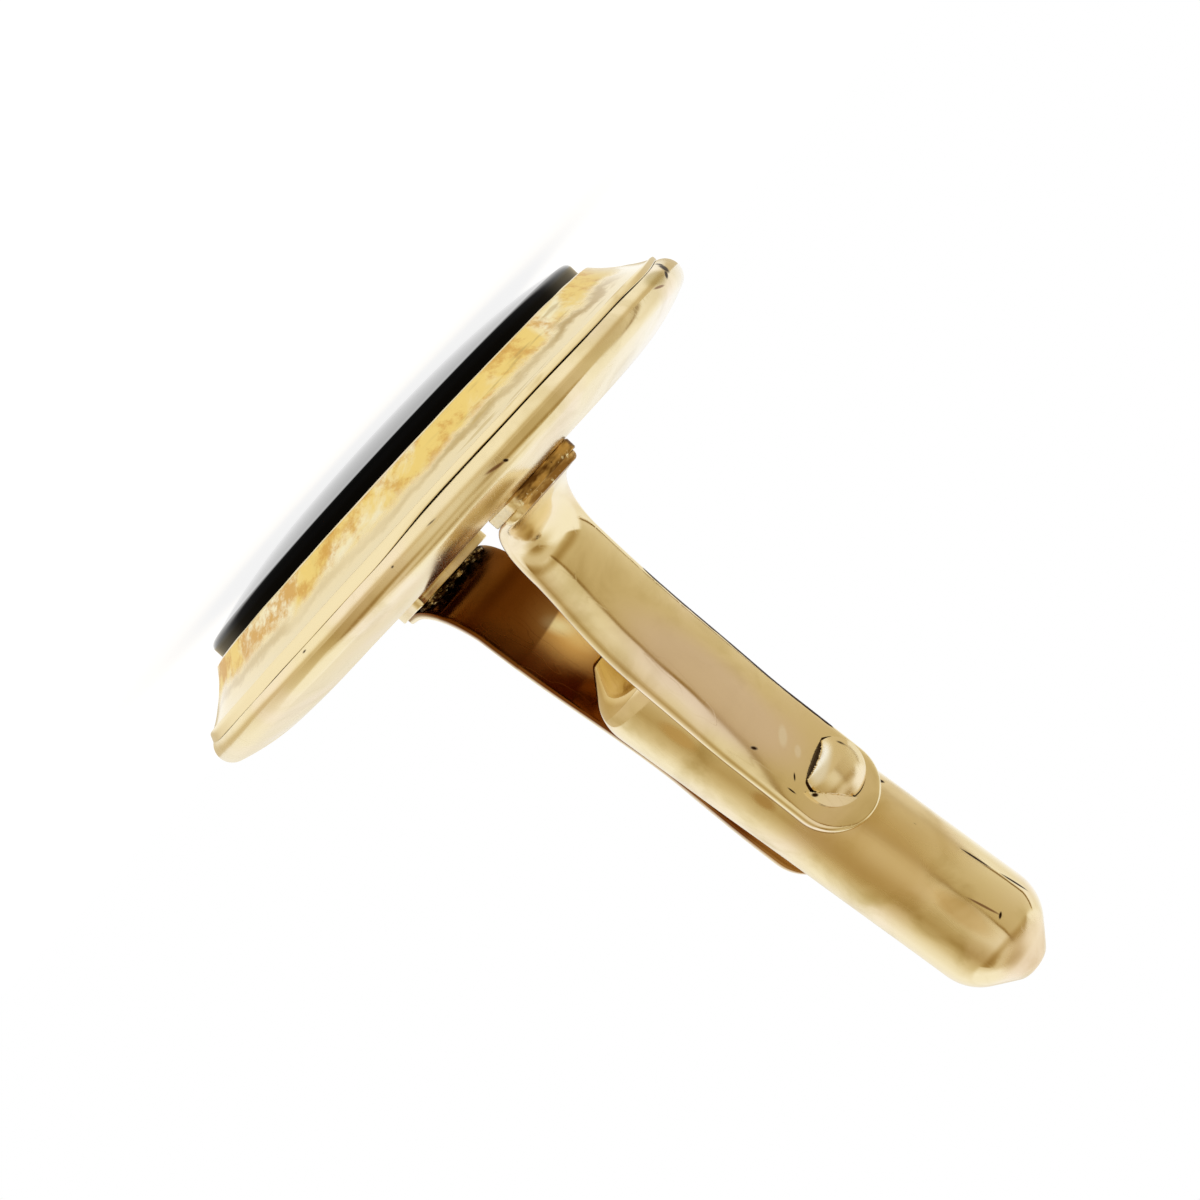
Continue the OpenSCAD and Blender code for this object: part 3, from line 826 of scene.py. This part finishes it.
def arm_path(past):
    """Middle line of an arm on the near side, from tip to foot: (y, z) points with outward normals."""
    y0 = arm_in_y + arm_t / 2
    tip_r = arm_w / 2
    top = pivot.z + past + tip_r
    bend_top = pivot.z - upright_len
    upper = vec(y0 + upper_bend_r, bend_top)
    foot_z = pad_z + arm_t / 2 + foot_bend_r
    end = upper + vec(-cos(arm_tilt), -sin(arm_tilt)) * upper_bend_r
    start_z = foot_z - foot_bend_r * sin(arm_tilt)
    foot_y = end.x + (end.y - start_z) * tan(arm_tilt) + foot_bend_r * cos(arm_tilt)
    tilt = degrees(arm_tilt)
    # The rows stand close together at the round tip, so that its outline is smooth
    tip_turns = [pi / 2 * i / tip_rows for i in range(tip_rows + 1)]
    points = [vec(y0, top - tip_r * (1 - cos(t))) for t in tip_turns]
    points += line_to(points[-1], vec(y0, bend_top), upright_steps)
    points += arc(upper, upper_bend_r, 180, 180 + tilt, upper_steps)[1:]
    points += line_to(points[-1], vec(foot_y - foot_bend_r * cos(arm_tilt), start_z), straight_steps)
    points += arc((foot_y, foot_z), foot_bend_r, 180 + tilt, 270, bend_steps)[1:]
    points += line_to(points[-1], vec(foot_reach, points[-1].y), foot_steps)
    rows = []
    for i, p in enumerate(points):
        along = (points[min(i + 1, len(points) - 1)] - points[max(i - 1, 0)]).normalized()
        rows.append((p, vec(-along.y, along.x)))
    return rows


def lengths_to_foot(rows):
    """Distance of each row from the foot's end, along the path."""
    lengths = [0.0]
    for (p, _), (q, _) in zip(rows[::-1], rows[-2::-1]):
        lengths.append(lengths[-1] + (p - q).length)
    return lengths[::-1]


def arm_faces(rows, columns):
    """Faces of a strap between two grids of points: its two sides, its edges and its ends."""
    n = columns + 1
    base = rows * n
    faces = []
    for i in range(rows - 1):
        a, d = i * n, (i + 1) * n
        for j in range(columns):
            faces.append((a + j, a + j + 1, d + j + 1, d + j))
            faces.append((base + d + j, base + d + j + 1, base + a + j + 1, base + a + j))
        faces.append((a, d, base + d, base + a))
        faces.append((base + a + columns, base + d + columns, d + columns, a + columns))
    foot = (rows - 1) * n
    for j in range(columns):
        faces.append((j + 1, j, base + j, base + j + 1))
        faces.append((foot + j, foot + j + 1, base + foot + j + 1, base + foot + j))
    return faces


def arm_mesh(past, side, crown, edge, seed, trim, widen):
    """An arm with a crowned outer face, rounded edges, a round tip and a flared foot. side is 1 for the near
    one, -1 for the far one. Its -X edge is trimmed above the foot and widened at the tip."""
    rows = arm_path(past)
    half = arm_w / 2
    tip = pivot.z + past
    outer, inner, edge_shade = [], [], []
    for (p, normal), from_foot in zip(rows, lengths_to_foot(rows)):
        over = p.y - tip
        low = max(0.0, 1 - (p.y - pad_z) / flare_h)
        lean_x = (p.y - back_z) * tan(post_lean) * (1 - foot_upright * low)
        lean_x -= bow_w * hump(p.y - back_z - bow_z, bow_run)
        width = half + foot_flare * low
        if over > 0:
            width = sqrt(max(half ** 2 - over ** 2, tip_least ** 2))
        width -= rounding(from_foot, foot_corner)
        at_foot = hump(from_foot, foot_thin_run)
        height = crown * (1 - hammered_flat * hump(p.y - pivot.z, hammered_l)) * (1 - at_foot)
        shift = trim * hump(p.y - pad_z - trim_z, trim_run) - widen * hump(p.y - pivot.z, widen_run)
        in_edge_shade = min(max((edge_shade_half - abs(p.y - edge_shade_z)) / edge_shade_soft, 0), 1)
        for j in range(arm_columns + 1):
            share = sin(pi * (j / arm_columns - 0.5))
            x = share * width
            gap = half - hypot(x, over) if over > 0 else min(width - abs(x), from_foot + foot_edge)
            gap = max(gap, 0.0)
            swell = height * (1 - abs(x / half) ** crown_power * crown_fall)
            wobble = noise.noise(vec(x, p.x, p.y) / wobble_l + vec(seed, 0, 0)) * wobble_h
            up = arm_t / 2 + swell - rounding(gap, edge) - foot_thin * at_foot + wobble
            up = max(up, arm_least_t - arm_t / 2)
            down = inner_edge_share * rounding(gap, inner_edge) - arm_t / 2
            x += shift * (1 - share) / 2
            # A painted dark reflection along the +X edge, over a band of heights
            dark_edge = edge_shade_level * in_edge_shade * min(max((share - edge_shade_from) / edge_shade_blend, 0), 1)
            edge_shade.append(dark_edge if j < arm_columns else 0.0)
            for lift, grid in ((up, outer), (down, inner)):
                grid.append(vec(lean_x + x, (p.x + normal.x * lift) * side, p.y + normal.y * lift))
    faces = arm_faces(len(rows), arm_columns)
    if side < 0:
        faces = [f[::-1] for f in faces]
    clean = [0.0] * len(inner)
    return outer + inner, faces, {"inside": [0.0] * len(outer) + [1.0] * len(inner), "grime_and_shade": edge_shade + clean}


def is_raw(face, verts):
    """Whether a face is at the fired end of the near foot."""
    middle = sum((verts[k] for k in face), Vector()) / len(face)
    ragged = noise.noise(middle / raw_ragged_l) * raw_ragged_w
    return middle.y > foot_reach - raw_l * (raw_share - raw_slant * middle.x / arm_w) + ragged


def build_post():
    near_gold = polished_gold("polished_gold_near_arm", wave=0.6, nicks=near_nicks, patches=near_worn)
    far_gold = polished_gold("polished_gold_far_arm", rough=0.12, patches=far_inner_light_and_shade, hidden=True)
    verts, faces, values = arm_mesh(0.0, 1, **near_form)
    raw = [i for i, face in enumerate(faces) if is_raw(face, verts)]
    fired = (raw_brass("raw_foot_end", FOOT_DARK, FOOT_BRIGHT), raw)
    piece("near_strap", "near_arm", verts, faces, near_gold, values=values, second=fired)
    verts, faces, values = arm_mesh(far_arm_extra, -1, **far_form)
    values["grime_and_shade"] = [0.0] * len(verts)
    piece("far_strap", "far_arm", verts, faces, far_gold, values=values)


# The pin

def head_height(u, v):
    """The height of the pin's head, a dome filed off on its foot side, with a flat burr on its -X side, and
    how
    dark it is painted: grime and painted shade on its filed wall and at its low edge. u runs along the arm,
    v across it."""
    ball = cap_radius(pin_head_r, pin_head_h)
    radius = hypot(u, v - pin_head_tip)
    dome = sqrt(max(ball ** 2 - radius ** 2, 0)) - (ball - pin_head_h)
    dome -= pin_steep * min(u - pin_steep_from, 0) ** 2
    burr = u * sin(pin_facet_turn) - v * cos(pin_facet_turn)
    if burr > pin_facet:
        dome = pin_burr_h - (burr - pin_facet) * pin_burr_slope
    wall = (pin_cut + u * cos(pin_cut_turn) + v * sin(pin_cut_turn)) * pin_cut_steep
    return min(dome, wall), 2.0 if wall < dome or dome < pin_grime_and_shade_h else 0.0


def at_pin(centre, u, v, y):
    """A point beside a centre: u along the arm, v across it and y along the pin."""
    lean = vec(sin(post_lean), 0, cos(post_lean))
    across = vec(cos(post_lean), 0, -sin(post_lean))
    return centre + lean * u + across * v + vec(0, y, 0)


def build_pin():
    gold = polished_gold("polished_gold_pin", rough=0.13, wave=0.8, nicks=pin_nicks, patches=pin_highlights)
    seat = arm_in_y + arm_t
    middle = at_pin(pivot, pin_head_down, pin_head_aside, 0)
    verts, grime_and_shade = [], []
    for i in range(pin_head_rings + 1):
        radius = pin_head_r * sin(pi / 2 * i / pin_head_rings)
        for t in circle(pin_around):
            u, v = radius * cos(t), radius * sin(t)
            height, dark_edge = head_height(u, v)
            grime_and_shade.append(dark_edge)
            verts.append(at_pin(middle, u, v, seat + pin_head_rise + max(height, -pin_head_skirt)))
    # The head's foot, where it meets the arm, gets grime and painted shade
    grime_and_shade += [1.0] * pin_around
    # The head's foot, the shank and the rivet's dome at the far end
    rings = [(middle, pin_head_r, seat), (pivot, pin_r, seat), (pivot, pin_r, -seat)]
    ball = cap_radius(rivet_r, rivet_h)
    for i in range(rivet_rings):
        radius = rivet_r * (1 - i / rivet_rings)
        rings.append((pivot, radius, -seat - rivet_h + ball - sqrt(ball ** 2 - radius ** 2)))
    for centre, radius, y in rings:
        verts += [at_pin(centre, radius * cos(t), radius * sin(t), y) for t in circle(pin_around)]
    grime_and_shade += [0.0] * (len(verts) - len(grime_and_shade))
    rows = len(verts) // pin_around
    faces = capped_tube(rows, pin_around)
    # The first ring is a point: it needs no end, and its faces become triangles
    del faces[-2]
    spare = pin_around - 1
    faces = [tuple(dict.fromkeys(max(k - spare, 0) for k in f))[::-1] for f in faces]
    piece("rivet_pin", "pivot_pin", verts[spare:], faces, gold, values={"grime_and_shade": grime_and_shade[spare:]})


# The toggle

def at_toggle(verts, flip=False):
    """Puts a shape made along Z at the pivot, with the toggle's lean."""
    place = Matrix.Translation(pivot) @ Matrix.Rotation(toggle_lean, 4, "Y")
    if flip:
        place = place @ Matrix.Rotation(pi, 4, "X")
    return [place @ v for v in verts]


def build_toggle():
    gold = polished_gold("polished_gold_toggle", wave=0.9, film_share=0.8, nicks=toggle_nicks_and_shadow,
                         patches=toggle_tarnish, dull=0.26)
    shaded_gold = polished_gold("polished_gold_inner_cone", wave=0.8, patches=[cone_shade])
    bore = toggle_r - tube_wall
    top = toggle_out - cone_l
    bottom = toggle_in - cone_l
    # The tube's ends and the cones' feet share one rounding
    slope = atan2(toggle_r - blunt_r, cone_l)
    reach = cone_blend * tan(slope / 2)
    round_out = arc((toggle_r - cone_blend, top - reach), cone_blend, 0, degrees(slope), cone_steps)
    tube_end = [p for p in round_out if p.y < top]
    cone_start = [p for p in round_out if p.y > top]
    joint = vec(toggle_r - cone_blend + sqrt(cone_blend ** 2 - reach ** 2), top)
    low = [vec(p.x, -p.y + top - bottom) for p in tube_end[::-1]]
    outer = [vec(joint.x, -bottom)] + low
    outer += line_to(vec(toggle_r, reach - bottom), vec(toggle_r, top - reach), toggle_rows)[:-1]
    outer += tube_end + [joint]
    verts, faces = lathe(outer + [vec(bore, top), vec(bore, -bottom)], toggle_around)
    verts = at_toggle(dented(verts, *toggle_dents))
    piece("toggle_barrel", "toggle_tube", verts, faces, gold, body="toggle")
    for word, start, mat, flip in (("outer", top, gold, False), ("inner", bottom, shaded_gold, True)):
        rise = vec(0, start - top)
        tip_z = start + cone_l
        tip = rounded([(0, tip_z, 0), (blunt_r, tip_z, blunt_round), (toggle_r, start, 0)], 8)[1:-1]
        line = [vec(0, start - spigot_l), vec(bore - slip, start - spigot_l), vec(bore - slip, start)]
        line += [joint + rise] + [p + rise for p in cone_start] + tip[::-1] + [vec(0, tip_z)]
        verts, faces = lathe(line, toggle_around)
        verts = at_toggle(dented(verts, *toggle_dents), flip)
        piece(f"toggle_{word}_cone", f"toggle_{word}_cap", verts, faces, mat, body="toggle")


# Small pieces at the feet

def build_pad(side, word, mat):
    """A foot's plate with round corners and eased edges, which reaches a little into the foot."""
    lo, hi = vec(pad_lo.x + (pad_trim if side > 0 else 0), pad_lo.y), vec(*pad_hi[:2])
    corners = ((lo.x, lo.y), (hi.x, lo.y), (hi.x, hi.y), (lo.x, hi.y))
    outline = rounded([(x, y, pad_corner) for x, y in corners], pad_steps)
    middle = (lo + hi) / 2
    levels = [(pad_edge, back_z), (0, back_z + pad_edge), (0, pad_z), (pad_edge / 2, pad_z + pad_edge / 2)]
    verts = []
    for inset, z in levels:
        for p in outline:
            out = p - middle
            q = middle + out * (1 - inset / out.length)
            verts.append(vec(q.x, q.y * side, z))
    faces = capped_tube(len(levels), len(outline))
    if side < 0:
        faces = [f[::-1] for f in faces]
    piece(f"{word}_sole_plate", f"{word}_foot_pad", dented(verts, *pad_dents, pad_seed + side), faces, mat)


def build_solder(side, word, mat):
    """A lumpy run of solder under the foot's bend, from one side of the arm to the other."""
    node = f"{word}_foot_solder"
    box_lo, box_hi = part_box(node)
    y_mid = (box_lo.y + box_hi.y) / 2 - side * solder_in
    z_mid = (box_lo.z + box_hi.z) / 2
    start = box_lo.x + (solder_trim if side > 0 else 0)
    verts = []
    for i in range(solder_rows + 1):
        t = i / solder_rows
        x = start + (box_hi.x - start) * t
        end = sqrt(max(1 - (2 * t - 1) ** solder_end_power, solder_end_least))
        for a in circle(solder_around):
            y, z = cos(a), sin(a)
            lump = end
            for share, length, waves in solder_lumps:
                lump += end * share * noise.noise(vec(x / length, y * waves, z * waves + side))
            verts.append(vec(x, y_mid + y * solder_half_y * lump, z_mid + z * solder_half_z * lump))
    faces = capped_tube(solder_rows + 1, solder_around)
    piece(f"{word}_solder_run", node, verts, faces, mat, "raw_solder")


def build_feet():
    pad_golds = {"near": raw_brass("raw_pad", PAD_DARK, PAD_BRIGHT),
                 "far": polished_gold("polished_gold_pad", rough=0.16, wave=1.5)}
    solder = raw_solder("raw_solder")
    for side, word in ((1, "near"), (-1, "far")):
        build_pad(side, word, pad_golds[word])
        build_solder(side, word, solder)


# Studio

# The tent's tones round the horizon, in degrees from +X: a warm card in front of the object's right, with
# dark slits at its sides, and a flag on the left
horizon_tones = (
    (0, 0.86), (2.2, 0.86), (3.2, 0.1), (5.4, 0.1), (6.4, 0.8), (20, 0.75), (45, 0.67), (70, 0.62),
    (84, 0.58), (85.2, 0.3), (88.6, 0.3), (90, 0.8), (108, 0.86), (124, 0.8), (139, 0.64),
    (152, 0.56), (166, 0.5), (178, 0.6), (196, 0.75), (214, 0.93), (236, 1.04), (262, 1.0),
    (284, 0.9), (300, 1.04), (316, 1.04), (342, 0.92), (360, 0.86))
# Heights in degrees at which the tent turns white, dips and dims, and how far from its front
white_from, white_to = 52, 60
dip_at, dip_half, dip_depth = 44, 14, 0.34
right_full, right_none, right_rise = 26, 42, 22
top_from, top_to, top_dim = 66, 84, 0.38
ceiling_tone = 1.04
front_at, front_full, front_none, front_dim = 122, 52, 84, 0.3
warmth_green, warmth_blue = 1.4, 2.4

# The table, which glows like the tent's floor and is dimmer far from the object
table_half = 0.6
table_grey = (0.18, 0.18, 0.18)
table_glow = 0.89
table_near, table_far, table_dim = 13 * MM, 24 * MM, 0.38

# The lamp
lamp_size, lamp_energy = 0.16, 0.05
lamp_at, lamp_aim = vec(-0.06, 0.1, 0.16), vec(0, 0, 0.01)


def warm_tone(g, tone):
    """The colour of a grey tone in a warm room: the darker, the browner."""
    return g.add("CombineColor", Red=tone, Green=g.math("POWER", tone, warmth_green),
                 Blue=g.math("POWER", tone, warmth_blue)).outputs[0]


def build_world():
    """A light tent around the object."""
    g = Graph(bpy.data.worlds.new("studio"))
    direction = g.add("TexCoord").outputs["Generated"]
    axes = g.axes(direction)
    azimuth = g.math("DEGREES", g.math("ARCTAN2", axes[1], axes[0]))
    height = g.math("DEGREES", g.math("ARCSINE", axes[2]))
    around = g.math("DIVIDE", g.math("WRAP", azimuth, 360.0, 0.0), 360.0)
    ramp = g.add("ValToRGB", Fac=around)
    stops = ramp.color_ramp.elements
    # The ramp comes with two stops: the first one is used, and the other is taken out
    for i, (turn, tone) in enumerate(horizon_tones):
        stop = stops[0] if i == 0 else stops.new(turn / 360)
        stop.position = turn / 360
        stop.color = (tone, tone, tone, 1)
    stops.remove(stops[-1])
    tone = g.add("SeparateColor", Color=ramp.outputs[0]).outputs[0]
    dip = g.smooth(g.math("ABSOLUTE", g.minus(height, dip_at)), 0, dip_half, dip_depth, 0)
    tone = g.times(tone, g.minus(1, dip))
    right = g.smooth(g.math("WRAP", azimuth, 180.0, -180.0), right_full, right_none, right_rise, 0)
    above = g.smooth(g.plus(height, right), white_from, white_to)
    off_front = g.math("ABSOLUTE", g.minus(g.math("WRAP", azimuth, 360.0, 0.0), front_at))
    ceiling = g.minus(ceiling_tone, g.smooth(off_front, front_full, front_none, front_dim, 0))
    tone = g.plus(g.times(tone, g.minus(1, above)), g.times(above, ceiling))
    tone = g.minus(tone, g.smooth(height, top_from, top_to, 0, top_dim))
    seen = g.add("LightPath").outputs["Is Camera Ray"]
    colour = g.mix(seen, warm_tone(g, tone), (1.0, 1, 1))
    back = g.add("Background", Color=colour, Strength=1.0)
    bpy.context.scene.world = g.output("OutputWorld", back)


def build_floor():
    """A white table that takes a soft shadow, and is dimmer far from the object in what mirrors it."""
    g = material("white_table")
    paths = g.add("LightPath").outputs
    seen = g.math("MAXIMUM", g.math("MAXIMUM", paths["Is Camera Ray"], paths["Is Glossy Ray"]),
                  paths["Is Transmission Ray"])
    away = g.length(g.add("TexCoord").outputs["Object"])
    far = g.times(g.smooth(away, table_near, table_far), paths["Is Glossy Ray"])
    paint = g.add("BsdfDiffuse", Color=table_grey)
    tone = g.minus(1, g.times(far, table_dim))
    glow = g.add("Emission", Color=warm_tone(g, tone), Strength=g.times(seen, table_glow))
    both = g.add("AddShader", i0=paint.outputs[0], i1=glow.outputs[0])
    mesh = bpy.data.meshes.new("table")
    corners = [(x * table_half, y * table_half, 0) for x, y in ((-1, -1), (1, -1), (1, 1), (-1, 1))]
    mesh.from_pydata(corners, [], [(0, 1, 2, 3)])
    mesh.materials.append(g.output("OutputMaterial", both))
    new_object("table", mesh)


def build_lights():
    """A wide soft lamp above, which lights the table but isn't mirrored in the gold."""
    data = bpy.data.lights.new("soft_key", "AREA")
    data.shape = "DISK"
    data.size = lamp_size
    data.energy = lamp_energy
    lamp = new_object("soft_key", data)
    lamp.location = lamp_at
    lamp.rotation_euler = (lamp_aim - lamp_at).to_track_quat("-Z", "Y").to_euler()
    lamp.visible_glossy = False


# The camera, solved from the photograph: 33.5 pixels a millimetre at the head's middle. axis_k and axis_d
# are the frame middle's distances from the seam's centre in pixels, along the rim and the axis
frame_px = 1200
px = MM / 33.5
focal_px = 2400
view_turn = radians(20)
view_tilt = 0.066
view_roll = -0.002
image_turn = radians(47.1)
axis_k, axis_d = 36.7, 189.4
sensor_w = 36
clip_near, clip_far = 5 * MM, 2


def build_camera():
    k = vec(cos(view_turn), sin(view_turn), 0)
    away = vec(sin(view_turn), -cos(view_turn), 0)
    up = vec(0, 0, 1)
    d2 = up * cos(view_tilt) - away * sin(view_tilt)
    a2 = away * cos(view_tilt) + up * sin(view_tilt)
    k3 = k * cos(view_roll) - d2 * sin(view_roll)
    d3 = k * sin(view_roll) + d2 * cos(view_roll)
    right = k3 * cos(image_turn) + d3 * sin(image_turn)
    down = -k3 * sin(image_turn) + d3 * cos(image_turn)
    place = vec(0, 0, seam_z) + (k3 * axis_k + d3 * axis_d - a2 * focal_px) * px
    data = bpy.data.cameras.new("camera")
    data.sensor_width = sensor_w
    data.lens = sensor_w * focal_px / frame_px
    data.clip_start = clip_near
    data.clip_end = clip_far
    camera = new_object("camera", data)
    turn = Matrix((right, -down, -a2)).transposed().to_4x4()
    camera.matrix_world = Matrix.Translation(place) @ turn
    bpy.context.scene.camera = camera


def dress_cad_nodes():
    """Materials of the nodes that stay as the CAD has them, held inside the head and the toggle."""
    looks = {"cement_bed": setting_cement("cement"), "seat_plate": polished_gold("inner_gold"),
             "detent_spring": spring_steel("spring_steel")}
    for node, mat in looks.items():
        mats = frame["nodes"][node].data.materials
        mats.clear()
        mats.append(mat)


build_camera()
build_world()
build_floor()
build_lights()
build_head()
build_post()
build_pin()
build_toggle()
build_feet()
dress_cad_nodes()

bpy.context.scene.view_settings.view_transform = "Standard"
